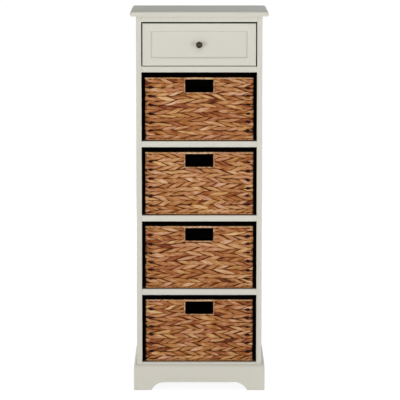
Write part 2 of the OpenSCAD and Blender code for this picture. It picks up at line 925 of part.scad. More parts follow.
top_board();
left_side_panel();  // side_panel_left
mirror([1, 0, 0]) left_side_panel();  // side_panel_right
back_panel();
frieze_rail();
back_rail();
shelf(4);  // drawer_shelf
shelf(3);  // shelf_upper
shelf(2);  // shelf_middle
shelf(1);  // shelf_lower
shelf(0);  // bottom_board
plinth_front();
left_plinth_side();  // plinth_side_left
mirror([1, 0, 0]) left_plinth_side();  // plinth_side_right
plinth_back();
corner_blocks();
left_top_cleat();  // top_cleat_left
mirror([1, 0, 0]) left_top_cleat();  // top_cleat_right
left_drawer_runner();  // drawer_runner_left
mirror([1, 0, 0]) left_drawer_runner();  // drawer_runner_right
drawer_stops();
carcass_dowels();
top_screws();
runner_screws();
block_screws();
back_panel_pins();
left_drawer_stile();  // drawer_stile_left
mirror([1, 0, 0]) left_drawer_stile();  // drawer_stile_right
drawer_rail_top();
drawer_rail_bottom();
drawer_panel();
left_drawer_side();  // drawer_side_left
mirror([1, 0, 0]) left_drawer_side();  // drawer_side_right
drawer_back();
drawer_bottom();
drawer_dowels();
drawer_knob();
knob_screw();
for (i = [1 : bays]) {
    in_bay(i) weave();
    in_bay(i) binding();
    in_bay(i) hole_binding();
    in_bay(i) mat();
    in_bay(i) wire_frame();
}
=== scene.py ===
"""Looks of a tall painted cabinet: a panelled drawer above four plaited baskets, on an arched plinth."""
import math

import bmesh
import bpy
import numpy as np
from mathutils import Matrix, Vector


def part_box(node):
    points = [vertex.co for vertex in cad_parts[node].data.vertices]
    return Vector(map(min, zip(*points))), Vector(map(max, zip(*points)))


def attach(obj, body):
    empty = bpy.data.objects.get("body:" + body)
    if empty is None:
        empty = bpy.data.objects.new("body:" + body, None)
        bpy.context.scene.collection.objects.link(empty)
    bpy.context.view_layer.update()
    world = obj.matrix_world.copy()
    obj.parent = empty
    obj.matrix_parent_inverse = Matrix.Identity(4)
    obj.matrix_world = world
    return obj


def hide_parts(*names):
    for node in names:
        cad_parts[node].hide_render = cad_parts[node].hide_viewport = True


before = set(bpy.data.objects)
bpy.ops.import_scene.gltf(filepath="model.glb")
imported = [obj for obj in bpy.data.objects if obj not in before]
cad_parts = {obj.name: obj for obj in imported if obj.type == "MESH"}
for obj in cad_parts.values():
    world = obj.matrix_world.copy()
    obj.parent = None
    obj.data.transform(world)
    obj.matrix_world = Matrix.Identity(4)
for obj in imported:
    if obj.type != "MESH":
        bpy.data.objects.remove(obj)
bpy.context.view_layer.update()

# The cabinet stands on a pale studio floor and is photographed from well back, a little above
# its top. Two large soft lamps stand before it with a smaller one above them, two more stand
# behind it, and the white room around it fills the shadows.
MM = 0.001
picture_px = 400
film_width = 36
lens_px = 2308.6
camera_distance = 7.0
camera_height = 1.576
camera_pitch = math.radians(7.82)
camera_right = 0.0024
picture_shift = -0.018
front_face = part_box("side_panel_left")[0].y

lens = bpy.data.cameras.new("studio_camera")
lens.sensor_width = film_width
lens.lens = film_width * lens_px / picture_px
lens.shift_y = picture_shift
lens.clip_end = 200
camera = bpy.data.objects.new("studio_camera", lens)
camera.location = (camera_right, front_face - camera_distance, camera_height)
camera.rotation_euler = (math.pi / 2 - camera_pitch, 0, 0)
bpy.context.scene.collection.objects.link(camera)
bpy.context.scene.camera = camera
bpy.context.scene.view_settings.view_transform = "Standard"


def softbox(name, place, aim, size, watts, tint=(1, 1, 1)):
    """A square lamp at place, turned so that its face looks at aim."""
    lamp = bpy.data.lights.new(name, "AREA")
    lamp.color = tint
    lamp.size = size
    lamp.energy = watts
    holder = bpy.data.objects.new(name, lamp)
    holder.location = place
    towards = [a - p for a, p in zip(aim, place)]
    flat = math.hypot(towards[0], towards[1])
    holder.rotation_euler = (math.pi / 2 + math.atan2(towards[2], flat), 0,
                             math.atan2(-towards[0], towards[1]))
    bpy.context.scene.collection.objects.link(holder)


softbox("lamp_left", (-1.9, -3.5, 0.95), (0, 0, 0.1), 1.7, 49)
softbox("lamp_right", (2.3, -3.3, 0.86), (0, 0, 0.1), 1.7, 40)
softbox("lamp_above", (0, -3.2, 2.8), (0, 0, 0.3), 1.0, 21)
softbox("lamp_behind", (1.5, 3.0, 2.4), (0, 0, 0.6), 1.5, 44, (0.74, 0.88, 1))
softbox("lamp_for_back", (-1.2, 3.4, 1.0), (0, 0, 0.5), 1.6, 52, (1, 0.9, 0.8))


def add_node(tree, kind, settings=None, **inputs):
    """Adds a shader node. Settings are its properties; each input is a value or the socket that feeds it.
    An input's name has _ for a space, and in_2 stands for the input that has no name of its own, number 2."""
    made = tree.nodes.new(kind)
    for key, value in (settings or {}).items():
        setattr(made, key, value)
    for key, value in inputs.items():
        socket = made.inputs[int(key[3:])] if key.startswith("in_") else made.inputs[key.replace("_", " ")]
        if isinstance(value, bpy.types.NodeSocket):
            tree.links.new(value, socket)
        else:
            socket.default_value = value
    return made


def new_material(name):
    """An empty material and its node tree."""
    material = bpy.data.materials.new(name)
    material.use_nodes = True
    material.node_tree.nodes.clear()
    return material, material.node_tree


def colour(red, green, blue):
    """A colour as a picture holds it, 0 to 255, turned into the light that it stands for."""
    parts = [c / 255 for c in (red, green, blue)]
    return [c / 12.92 if c <= 0.04045 else ((c + 0.055) / 1.055) ** 2.4 for c in parts] + [1]


def background_rays(tree):
    """1 for what the camera sees, directly, in a gloss or through glass, and 0 for the light that falls on
    the cabinet."""
    ray = add_node(tree, "ShaderNodeLightPath")
    shown = add_node(tree, "ShaderNodeMath", {"operation": "MAXIMUM"}, in_0=ray.outputs["Is Camera Ray"],
                     in_1=ray.outputs["Is Glossy Ray"])
    return add_node(tree, "ShaderNodeMath", {"operation": "MAXIMUM"}, in_0=shown.outputs[0],
                    in_1=ray.outputs["Is Transmission Ray"]).outputs[0]


room_light = 0.18
room = bpy.data.worlds.new("studio_room")
room.use_nodes = True
bpy.context.scene.world = room
tree = room.node_tree
tree.nodes.clear()
lit = add_node(tree, "ShaderNodeBackground", Color=colour(255, 254, 251), Strength=room_light)
white = add_node(tree, "ShaderNodeBackground", Color=(1, 1, 1, 1), Strength=1)
both = add_node(tree, "ShaderNodeMixShader", Fac=background_rays(tree), in_1=lit.outputs[0],
                in_2=white.outputs[0])
add_node(tree, "ShaderNodeOutputWorld", Surface=both.outputs[0])


def full_turn(count):
    """Angles of evenly spaced points round a circle."""
    return np.linspace(0, 2 * np.pi, count + 1)[:-1]


# The floor: what shows of it is mostly a glow of its own, which grows outwards where the light of the
# lamps fades, so that it meets the white room without a line
floor_reach = 60
floor_corners = 64
floor_glow_share = 0.78
turn = full_turn(floor_corners)
sheet = bpy.data.meshes.new("studio_floor")
sheet.from_pydata(np.stack([floor_reach * np.cos(turn), floor_reach * np.sin(turn), 0 * turn], 1), [],
                  [list(range(floor_corners))])
studio_floor = bpy.data.objects.new("studio_floor", sheet)
bpy.context.scene.collection.objects.link(studio_floor)
floor_paint, tree = new_material("floor_paint")
matt = add_node(tree, "ShaderNodeBsdfDiffuse", Color=(0.92, 0.92, 0.91, 1))
spot = add_node(tree, "ShaderNodeTexCoord")
away = add_node(tree, "ShaderNodeVectorMath", {"operation": "LENGTH"}, in_0=spot.outputs["Object"])
bright = add_node(tree, "ShaderNodeMapRange", Value=away.outputs["Value"], From_Min=1.5, From_Max=9.0,
                  To_Min=1.185, To_Max=1.28)
glow = add_node(tree, "ShaderNodeEmission", Color=(1, 1, 1, 1), Strength=bright.outputs["Result"])
share = add_node(tree, "ShaderNodeMath", {"operation": "MULTIPLY"}, in_0=background_rays(tree),
                 in_1=floor_glow_share)
both = add_node(tree, "ShaderNodeMixShader", Fac=share.outputs[0], in_1=matt.outputs[0], in_2=glow.outputs[0])
add_node(tree, "ShaderNodeOutputMaterial", Surface=both.outputs[0])
sheet.materials.append(floor_paint)

# The boards of the carcass and the plinth: wood under a cream satin paint that is brushed along
# the grain. Their long arrises are eased with sandpaper, so they are round where the hand meets
# them, and deep shade is painted into the colour in the recesses between and behind the baskets.


def shader_group(name, inputs, outputs):
    """A node group with the given sockets, each as its name, its type and its value."""
    group = bpy.data.node_groups.new(name, "ShaderNodeTree")
    for way, sockets in (("INPUT", inputs), ("OUTPUT", outputs)):
        for label, kind, value in sockets:
            socket = group.interface.new_socket(label, in_out=way, socket_type=kind)
            if value is not None:
                socket.default_value = value
    return group, group.nodes.new("NodeGroupInput").outputs, group.nodes.new("NodeGroupOutput").inputs


def use_group(tree, group, **inputs):
    """Places a node group in a tree."""
    made = tree.nodes.new("ShaderNodeGroup")
    made.node_tree = group
    for key, value in inputs.items():
        socket = made.inputs[key.replace("_", " ")]
        if isinstance(value, bpy.types.NodeSocket):
            tree.links.new(value, socket)
        else:
            socket.default_value = value
    return made.outputs


# Painted recess shade: how much of the sky a point sees within a reach, turned into a shade from nearly
# black to 1 that multiplies the colour
recess_shade, given, result = shader_group(
    "recess_shade", [("Darkest", "NodeSocketFloat", 0.03)], [("Shade", "NodeSocketFloat", None)])
seen = add_node(recess_shade, "ShaderNodeAmbientOcclusion", {"samples": 12}, Distance=0.45)
shade = add_node(recess_shade, "ShaderNodeMapRange", {"clamp": True, "interpolation_type": "SMOOTHSTEP"},
                 Value=seen.outputs["AO"], From_Min=0.12, From_Max=0.42, To_Min=given["Darkest"], To_Max=1.0)
recess_shade.links.new(shade.outputs["Result"], result["Shade"])

# Fine streaks that run along one direction, coarser ones five times as wide, and a slow unevenness, for
# brushed paint and for grain
drawn_streaks, given, result = shader_group(
    "drawn_streaks",
    [("Vector", "NodeSocketVector", None), ("Fineness", "NodeSocketFloat", 1.0)],
    [(mask, "NodeSocketFloat", None) for mask in ("Streaks", "Grain", "Cloud")])
fine = add_node(drawn_streaks, "ShaderNodeTexNoise", Vector=given["Vector"], Scale=given["Fineness"],
                Detail=3.0, Roughness=0.55)
coarse = add_node(drawn_streaks, "ShaderNodeTexNoise", Vector=given["Vector"], Scale=0.2, Detail=3.0,
                  Roughness=0.6, Distortion=0.4)
slow = add_node(drawn_streaks, "ShaderNodeTexNoise", Vector=given["Vector"], Scale=0.06, Detail=2.0,
                Roughness=0.5)
for noise, mask in ((fine, "Streaks"), (coarse, "Grain"), (slow, "Cloud")):
    drawn_streaks.links.new(noise.outputs["Fac"], result[mask])

# Arrises, for rubbed wear and a painted highlight: the more the softened surface turns from the true
# one, the nearer to 1
arris_wear_and_highlight, given, result = shader_group(
    "arris_wear_and_highlight", [("Radius", "NodeSocketFloat", 0.0015)], [("Wear_and_highlight", "NodeSocketFloat", None)])
soft = add_node(arris_wear_and_highlight, "ShaderNodeBevel", {"samples": 6}, Radius=given["Radius"])
true = add_node(arris_wear_and_highlight, "ShaderNodeNewGeometry")
turned = add_node(arris_wear_and_highlight, "ShaderNodeVectorMath", {"operation": "DOT_PRODUCT"},
                  in_0=soft.outputs["Normal"], in_1=true.outputs["Normal"])
wear_and_highlight = add_node(arris_wear_and_highlight, "ShaderNodeMapRange", {"clamp": True}, Value=turned.outputs["Value"],
               From_Min=0.995, From_Max=0.85, To_Min=0.0, To_Max=1.0)
arris_wear_and_highlight.links.new(wear_and_highlight.outputs["Result"], result["Wear_and_highlight"])

# Streaks to the metre, for each direction in which paint is brushed or grain runs
streaks_across, streaks_along = 420.0, 9.0
streak_scale = {"X": (streaks_along, streaks_across, streaks_across),
                "Y": (streaks_across, streaks_along, streaks_across),
                "Z": (streaks_across, streaks_across, streaks_along)}


def mix_colours(tree, factor, first, second, blend="MIX"):
    """Mixes two colours, each given as its values or as the socket that feeds it."""
    return add_node(tree, "ShaderNodeMix", {"data_type": "RGBA", "blend_type": blend}, Factor=factor,
                    in_6=first, in_7=second).outputs[2]


def times(tree, tint, factor):
    """A colour multiplied by a value."""
    grey = add_node(tree, "ShaderNodeCombineColor", Red=factor, Green=factor, Blue=factor)
    return mix_colours(tree, 1.0, tint, grey.outputs[0], "MULTIPLY")


def colour_ramp(tree, factor, stops):
    """A ramp through stops in rising order, each its place from 0 to 1 and its colour."""
    ramp = add_node(tree, "ShaderNodeValToRGB", Fac=factor)
    elements = ramp.color_ramp.elements
    for place, tint in stops[1:-1]:
        elements.new(place).color = tint
    for element, (place, tint) in ((elements[0], stops[0]), (elements[-1], stops[-1])):
        element.position = place
        element.color = tint
    return ramp.outputs["Color"]


def cream_paint(direction):
    """Cream satin paint with its brush marks along X, Y or Z, lighter along its arrises, partly as rubbed
    paint and partly as a painted highlight, and darkened by painted shade in recesses.
    """
    material, tree = new_material("cream_paint_" + direction.lower())
    place = add_node(tree, "ShaderNodeTexCoord")
    drawn = add_node(tree, "ShaderNodeMapping", Vector=place.outputs["Object"], Scale=streak_scale[direction])
    marks = use_group(tree, drawn_streaks, Vector=drawn.outputs[0], Fineness=1.0)
    arris = use_group(tree, arris_wear_and_highlight, Radius=0.0016)
    # Painted shade in the recesses, multiplied into the colour
    shade = use_group(tree, recess_shade, Darkest=0.012)
    tone = colour_ramp(tree, marks["Cloud"], [(0.25, colour(214, 211, 200)), (0.75, colour(218, 216, 205))])
    # Lighter along the arrises: partly rubbed paint, partly a painted highlight
    worn_and_highlit = mix_colours(tree, arris["Wear_and_highlight"], tone, colour(228, 226, 216))
    gloss = add_node(tree, "ShaderNodeMapRange", Value=marks["Streaks"], From_Min=0.3, From_Max=0.7,
                     To_Min=0.62, To_Max=0.74)
    relief = add_node(tree, "ShaderNodeMath", {"operation": "MULTIPLY_ADD"}, in_0=marks["Grain"], in_1=2.2,
                      in_2=marks["Streaks"])
    ridge = add_node(tree, "ShaderNodeBump", Strength=0.5, Distance=0.00025, Height=relief.outputs[0])
    paint = add_node(tree, "ShaderNodeBsdfPrincipled", Base_Color=times(tree, worn_and_highlit, shade["Shade"]),
                     Roughness=gloss.outputs["Result"], Normal=ridge.outputs[0], IOR=1.46,
                     Specular_IOR_Level=0.25)
    add_node(tree, "ShaderNodeOutputMaterial", Surface=paint.outputs[0])
    return material


painted = {direction: cream_paint(direction) for direction in "XYZ"}


def finish_piece(piece, body, material, slot, *nodes):
    """Gives a finished piece its material and its place in the frame."""
    piece.data.materials.clear()
    piece.data.materials.append(material)
    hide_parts(*nodes)
    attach(piece, body)


def dress(material, *nodes):
    """Gives the frame's own solids a better material."""
    for node in nodes:
        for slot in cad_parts[node].material_slots:
            slot.material = material


arris_radius = 1.3 * MM
shortest_arris = 40 * MM
arris_turn = math.radians(60)
flat_turn = math.radians(0.4)


def eased_board(node, body, direction):
    """A copy of a board with its long arrises rounded: edges that run along the given axis for more than
    the shortest length, at an outer corner that turns by more than 60 degrees."""
    shape = bmesh.new()
    shape.from_mesh(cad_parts[node].data)
    bmesh.ops.remove_doubles(shape, verts=shape.verts, dist=1e-6)
    bmesh.ops.dissolve_limit(shape, angle_limit=flat_turn, verts=shape.verts, edges=shape.edges)
    axis = "XYZ".index(direction)
    long_arrises = []
    for edge in shape.edges:
        run = edge.verts[1].co - edge.verts[0].co
        lengthwise = abs(run[axis]) > 0.999 * run.length and run.length > shortest_arris
        outer = lengthwise and len(edge.link_faces) == 2 and edge.is_convex
        if outer and edge.calc_face_angle() > arris_turn:
            long_arrises.append(edge)
    bmesh.ops.bevel(shape, geom=long_arrises, offset=arris_radius, offset_type="OFFSET", segments=3,
                    profile=0.5, affect="EDGES", clamp_overlap=False)
    mesh = bpy.data.meshes.new(node + "_painted")
    shape.to_mesh(mesh)
    shape.free()
    board = bpy.data.objects.new(node + "_painted", mesh)
    bpy.context.scene.collection.objects.link(board)
    finish_piece(board, body, painted[direction], "cream_paint", node)


for node in ("drawer_shelf", "shelf_upper", "shelf_middle", "shelf_lower", "bottom_board", "frieze_rail",
             "plinth_front", "plinth_back"):
    eased_board(node, "root", "X")
for node in ("side_panel_left", "side_panel_right"):
    eased_board(node, "root", "Z")
for node in ("plinth_side_left", "plinth_side_right"):
    eased_board(node, "root", "Y")
dress(painted["Z"], "back_panel")

# The top board: one wide board, moulded on its front and both ends with a round upper arris and
# a shallow undercut, and screwed down onto the cleats. Its front corners are rounded off a little.
top_low, top_high = (np.array(corner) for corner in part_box("top_board"))
top_thickness = top_high[2] - top_low[2]
top_corner = 3.5 * MM
top_least_corner = 0.4 * MM
top_round = 6 * MM
top_undercut = (2 * MM, 5 * MM)


def grid_faces(rows, columns, round_rows=False, round_columns=False):
    """Corner numbers of the squares of a grid of points, joined end to end where it goes round."""
    r = np.arange(rows if round_rows else rows - 1)[:, None]
    c = np.arange(columns if round_columns else columns - 1)[None, :]
    r2, c2 = (r + 1) % rows, (c + 1) % columns
    corners = [r * columns + c, r * columns + c2, r2 * columns + c2, r2 * columns + c]
    return np.stack([x + 0 * (r + c) for x in corners], -1).reshape(-1, 4)


def add_piece(name, points, faces, caps=(), uv=None, **attributes):
    """A closed, smooth mesh from points and four-cornered faces, with caps of any number of corners. Its
    faces are turned outwards: where the volume that they enclose comes out negative, each is turned over.
    The uv, a place in a pattern, and each attribute have one value for each point."""
    corner = points[faces]
    volume = np.einsum("ij,ij->i", corner[:, 0], np.cross(corner[:, 1], corner[:, 2])).sum()
    volume += np.einsum("ij,ij->i", corner[:, 0], np.cross(corner[:, 2], corner[:, 3])).sum()
    step = -1 if volume < 0 else 1
    mesh = bpy.data.meshes.new(name)
    mesh.from_pydata(points, [], faces[:, ::step].tolist() + [list(cap)[::step] for cap in caps])
    if uv is not None:
        held = mesh.uv_layers.new(name="strand").data
        loops = np.empty(len(mesh.loops), int)
        mesh.loops.foreach_get("vertex_index", loops)
        held.foreach_set("uv", uv[loops].ravel())
    for label, values in attributes.items():
        mesh.attributes.new(label, "FLOAT", "POINT").data.foreach_set("value", values)
    mesh.shade_smooth()
    piece = bpy.data.objects.new(name, mesh)
    bpy.context.scene.collection.objects.link(piece)
    return piece


def quarter(centre, radius, start, end, steps):
    """Points of an arc, with the angles in degrees."""
    a = np.radians(np.linspace(start, end, steps + 1))
    return np.stack([centre[0] + radius * np.cos(a), centre[1] + radius * np.sin(a)], 1)


def top_outline(inset):
    """The board's edge seen from above, drawn in by the inset at the front and both ends: the two
    front corners are quarter circles, and the back stays where it is."""
    r = max(top_corner - inset, top_least_corner)
    left, right, lip = top_low[0] + inset, top_high[0] - inset, top_low[1] + inset
    return np.concatenate([[[right, top_high[1]], [left, top_high[1]]],
                           quarter((left + r, lip + r), r, 180, 270, 5),
                           quarter((right - r, lip + r), r, 270, 360, 5)])


edge_cove = quarter((0, 0), 1, 0, 90, 4) * top_undercut
edge_round = quarter((top_round, top_thickness - top_round), top_round, 180, 90, 10)
rings = []
for inset, height in np.concatenate([edge_cove, edge_round]):
    outline = top_outline(inset)
    rings.append(np.column_stack([outline, np.full(len(outline), top_low[2] + height)]))
count = len(rings[0])
last = len(rings) * count
piece = add_piece("top_board_painted", np.concatenate(rings),
                  grid_faces(len(rings), count, round_columns=True),
                  [range(count)[::-1], range(last - count, last)])
piece.data.set_sharp_from_angle(angle=math.radians(35))
finish_piece(piece, "root", painted["X"], "cream_paint", "top_board")

# The drawer's front: two stiles, two rails and a loose panel, painted as the carcass is. The
# drawer's box behind it is bare: pale planed sides that are grooved for the runners, and a
# plywood bottom.
dress(painted["Z"], "drawer_stile_left", "drawer_stile_right")
dress(painted["X"], "drawer_rail_top", "drawer_rail_bottom", "drawer_panel")


def bare_wood(name, direction, pale, dark, rings_per_metre):
    """Planed wood: bands of early and late growth that wander along the grain, with fine pores."""
    material, tree = new_material(name)
    place = add_node(tree, "ShaderNodeTexCoord")
    stretch = {"X": (0.05, 1, 1), "Y": (1, 0.05, 1), "Z": (1, 1, 0.05)}[direction]
    drawn = add_node(tree, "ShaderNodeMapping", Vector=place.outputs["Object"], Scale=stretch)
    bent = add_node(tree, "ShaderNodeTexNoise", Vector=drawn.outputs[0], Scale=14.0, Detail=2.0)
    bands = add_node(tree, "ShaderNodeTexWave", {"wave_type": "RINGS", "rings_direction": direction},
                     Vector=drawn.outputs[0], Scale=rings_per_metre, Distortion=5.0, Detail=2.0,
                     Detail_Scale=1.2)
    fine = add_node(tree, "ShaderNodeMapping", Vector=place.outputs["Object"], Scale=streak_scale[direction])
    pores = use_group(tree, drawn_streaks, Vector=fine.outputs[0], Fineness=1.6)
    mixed = add_node(tree, "ShaderNodeMath", {"operation": "MULTIPLY"}, in_0=bands.outputs["Fac"],
                     in_1=bent.outputs["Fac"])
    tone = colour_ramp(tree, mixed.outputs[0], [(0.0, pale), (0.75, dark)])
    grey = add_node(tree, "ShaderNodeMapRange", Value=pores["Streaks"], From_Min=0.35, From_Max=0.6,
                    To_Min=0.86, To_Max=1.0)
    # Painted shade in the recesses, multiplied into the colour
    shade = use_group(tree, recess_shade, Darkest=0.03)
    dull = times(tree, times(tree, tone, grey.outputs["Result"]), shade["Shade"])
    ridge = add_node(tree, "ShaderNodeBump", Strength=0.4, Distance=0.0002, Height=pores["Streaks"])
    wood = add_node(tree, "ShaderNodeBsdfPrincipled", Base_Color=dull, Roughness=0.62,
                    Normal=ridge.outputs[0])
    add_node(tree, "ShaderNodeOutputMaterial", Surface=wood.outputs[0])
    return material


pale_wood, late_wood = colour(226, 200, 160), colour(190, 152, 104)
pine = {direction: bare_wood("bare_wood_" + direction.lower(), direction, pale_wood, late_wood, 40.0)
        for direction in "XYZ"}
dress(pine["Y"], "drawer_side_left", "drawer_side_right", "drawer_runner_left", "drawer_runner_right",
      "top_cleat_left", "top_cleat_right", "drawer_stops")
dress(pine["X"], "drawer_back", "back_rail", "carcass_dowels", "drawer_dowels")
dress(pine["Z"], "corner_blocks")
dress(bare_wood("plywood_face", "X", colour(214, 184, 140), colour(186, 150, 104), 16.0), "drawer_bottom")

# Screws and pins: turned and drawn steel, plated with zinc, that hold the top, the runners, the
# corner blocks, the back panel and the knob. They are a little brighter along the turning marks.


def steel(name, tint, roughest):
    """Drawn or plated steel with faint marks of its making."""
    material, tree = new_material(name)
    place = add_node(tree, "ShaderNodeTexCoord")
    marks = add_node(tree, "ShaderNodeTexNoise", Vector=place.outputs["Object"], Scale=900.0, Detail=3.0)
    gloss = add_node(tree, "ShaderNodeMapRange", Value=marks.outputs["Fac"], From_Min=0.3, From_Max=0.7,
                     To_Min=roughest - 0.16, To_Max=roughest)
    ridge = add_node(tree, "ShaderNodeBump", Strength=0.2, Distance=0.0001, Height=marks.outputs["Fac"])
    metal = add_node(tree, "ShaderNodeBsdfPrincipled", Base_Color=tint, Metallic=1.0,
                     Roughness=gloss.outputs["Result"], Normal=ridge.outputs[0])
    add_node(tree, "ShaderNodeOutputMaterial", Surface=metal.outputs[0])
    return material


dress(steel("zinc_plate", colour(196, 200, 204), 0.42), "top_screws", "runner_screws", "block_screws",
      "back_panel_pins", "knob_screw")

# The knob: one small turned casting with a foot, a waist and a domed head, toned to a dark
# bronze that has rubbed brighter on its crown and its rim, and held by a screw from behind.
knob_low, knob_high = (np.array(corner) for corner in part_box("drawer_knob"))
knob_length = knob_high[1] - knob_low[1]
knob_radius = (knob_high[0] - knob_low[0]) / 2
knob_middle = (knob_low + knob_high) / 2
knob_head = 10 * MM
knob_tip = 0.02 * MM
knob_steps = 72


def knob_profile():
    """Distance out from the panel and radius, from the knob's foot to its crown: a bead that is half a
    circle, a stem that narrows to the waist by a cube and swells to the head by a sixth power, a rim that is
    most of half a circle, and a dome that is a quarter of an ellipse."""
    foot, waist, bead, rim = 6.5 * MM, 4.5 * MM, 1.3 * MM, 1.5 * MM
    neck_end = knob_length - knob_head
    t = np.linspace(0, 1, 19)[1:-1]
    stem = np.stack([2 * bead + (neck_end - 2 * bead) * t,
                     waist + (foot - bead - waist) * (1 - t) ** 3 + (knob_radius - rim - waist) * t ** 6], 1)
    brim = quarter((neck_end + rim, knob_radius - rim), rim, 180, 30, 10)
    b = np.linspace(0, np.pi / 2, 15)[1:-1]
    dome = np.stack([brim[-1, 0] + (knob_length - brim[-1, 0]) * np.sin(b), brim[-1, 1] * np.cos(b)], 1)
    return np.concatenate([[[0, knob_tip]], quarter((bead, foot - bead), bead, 180, 0, 8), stem, brim, dome,
                           [[knob_length, knob_tip]]])


profile = knob_profile()
turn = full_turn(knob_steps)
out, radius = profile[:, :1], profile[:, 1:]
points = np.stack([knob_middle[0] + radius * np.cos(turn), knob_high[1] - out + 0 * turn,
                   knob_middle[2] + radius * np.sin(turn)], -1).reshape(-1, 3)
piece = add_piece("knob_turned", points, grid_faces(len(profile), knob_steps, round_columns=True),
                  [range(knob_steps)[::-1], range(len(points) - knob_steps, len(points))])

bronze, tree = new_material("antique_bronze")
place = add_node(tree, "ShaderNodeTexCoord")
cloud = add_node(tree, "ShaderNodeTexNoise", Vector=place.outputs["Object"], Scale=160.0, Detail=5.0,
                 Roughness=0.6)
speck = add_node(tree, "ShaderNodeTexNoise", Vector=place.outputs["Object"], Scale=1400.0, Detail=2.0)
arris = use_group(tree, arris_wear_and_highlight, Radius=0.0012)
tone = colour_ramp(tree, cloud.outputs["Fac"], [(0.32, colour(44, 40, 31)), (0.7, colour(68, 62, 49))])
worn_and_highlit = mix_colours(tree, arris["Wear_and_highlight"], tone, colour(88, 76, 56))
gloss = add_node(tree, "ShaderNodeMapRange", Value=speck.outputs["Fac"], From_Min=0.3, From_Max=0.7,
                 To_Min=0.3, To_Max=0.46)
ridge = add_node(tree, "ShaderNodeBump", Strength=0.25, Distance=0.0002, Height=cloud.outputs["Fac"])
metal = add_node(tree, "ShaderNodeBsdfPrincipled", Base_Color=worn_and_highlit, Metallic=0.85,
                 Roughness=gloss.outputs["Result"], Normal=ridge.outputs[0])
add_node(tree, "ShaderNodeOutputMaterial", Surface=metal.outputs[0])
finish_piece(piece, "drawer", bronze, "antique_bronze", "drawer_knob")

# The baskets' walls: dried water hyacinth stems, three to a flat plait, and the plait laid round
# the wire frame in seven courses. It is drawn in tight beside each corner, which leaves small dark
# notches between the courses, and the two top courses stop at the hand hole.
courses = 7
course_tuck = 2.5 * MM
course_wander = 1.5 * MM
strands = 3
turns_round = (9, 13)
hole_half = 43 * MM
hole_height = 39 * MM
hole_binding = 5 * MM
hole_clearance = 3.2 * MM
hole_reach = 45 * MM
notch_place = 12 * MM
notch_depth = 0.36
end_squeeze = 0.15
end_reach = 9 * MM
stitch_stray = 4.0 * MM
stitch_tilt = 0.32
strand_sway = 0.3 * MM
strand_width = 1.16
width_spread = 0.18
strand_half_thickness = 3.0 * MM
strand_girth = 16 * MM
points_round = 10
core_places = 160
inside_thickness = 0.6
inside_depth = 1.7 * MM
stem_tone = {1: 0.585, 2: 0.65, 3: 0.61, 4: 0.585}

# The line that a course follows: along the middle of the wall, round four small bends
mid_wall = 5 * MM
path_bend = 5 * MM
basket_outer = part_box("basket_1_weave")
basket_centre = [(basket_outer[1][i] + basket_outer[0][i]) / 2 for i in (0, 1)]
path_half = [(basket_outer[1][i] - basket_outer[0][i]) / 2 - mid_wall for i in (0, 1)]
round_wall = 4 * (sum(path_half) - 2 * path_bend) + 2 * np.pi * path_bend
corner_middle = path_half[0] - path_bend + path_bend * np.pi / 4
side_run = 2 * (path_half[1] - path_bend) + path_bend * np.pi / 2
corner_places = np.array([corner_middle, corner_middle + side_run, round_wall - corner_middle - side_run,
                          round_wall - corner_middle])


def slow_noise(s, period, shortest, rng):
    """Random waves that repeat after the period: a sum of cosines with random phases, from the whole
    period down to the shortest wavelength, scaled so that most values lie between -2 and 2."""
    orders = np.arange(1, int(period / shortest) + 1)
    weights = rng.uniform(0.4, 1.0, len(orders))
    phases = rng.uniform(0, 2 * np.pi, len(orders))
    waves = np.cos(2 * np.pi * np.multiply.outer(s, orders) / period + phases) @ weights
    return waves / np.sqrt((weights ** 2).sum() / 2)


def wall_path(s, half_x, half_y, r):
    """Place and outward direction at distance s along the middle of a basket's wall, seen from above:
    a rectangle with quarter-circle corners, from the middle of the front towards the right."""
    run_x, run_y, bend = half_x - r, half_y - r, r * np.pi / 2
    ends = np.cumsum([run_x, bend, 2 * run_y, bend, 2 * run_x, bend, 2 * run_y, bend, run_x])
    s = np.mod(s, ends[-1])
    part = np.searchsorted(ends, s, side="right").clip(0, 8)
    into = s - np.concatenate([[0], ends[:-1]])[part]
    straight = part % 2 == 0
    side = (part + 1) // 2 % 4
    angle = np.where(straight, side * np.pi / 2 - np.pi / 2, (part // 2) * np.pi / 2 - np.pi / 2 + into / r)
    out = np.stack([np.cos(angle), np.sin(angle)], -1)
    forward = np.stack([-out[..., 1], out[..., 0]], -1)
    corner = np.array([[1, -1], [1, 1], [-1, 1], [-1, -1]])[(part // 2) % 4] * [run_x, run_y]
    starts = np.array([[0, -half_y], [half_x, -run_y], [run_x, half_y], [-half_x, run_y], [-run_x, -half_y]])
    begin = starts[(part // 2).clip(0, 4)]
    place = np.where(straight[..., None], begin + forward * into[..., None], corner + out * r)
    return place, out


def on_wall(along_wall, up_wall, out):
    """Puts points given along the wall, up and out of the wall's middle into the room."""
    place, outward = wall_path(along_wall, *path_half, path_bend)
    flat = place + outward * out[..., None] + basket_centre
    return np.concatenate([flat, up_wall[..., None]], -1)


def way_round(s, mark):
    """The distance from places to a mark along the wall, whichever way round is shorter."""
    return np.abs(np.mod(s - mark + round_wall / 2, round_wall) - round_wall / 2)


def drawn_in(s, open_ends):
    """How much the plait is drawn in: beside each corner by the notch's depth, as the fifth power of the
    distance to the corner times its decaying exponential, and less so at the hand hole's ends."""
    gap = way_round(s[:, None], corner_places) / notch_place
    squeeze = 1 - notch_depth * ((gap * np.exp(1 - gap)) ** 5).sum(1)
    if open_ends:
        from_hole = np.minimum(s, round_wall - s) - hole_half
        squeeze = squeeze * (1 - end_squeeze * np.exp(-from_hole / end_reach))
    return squeeze


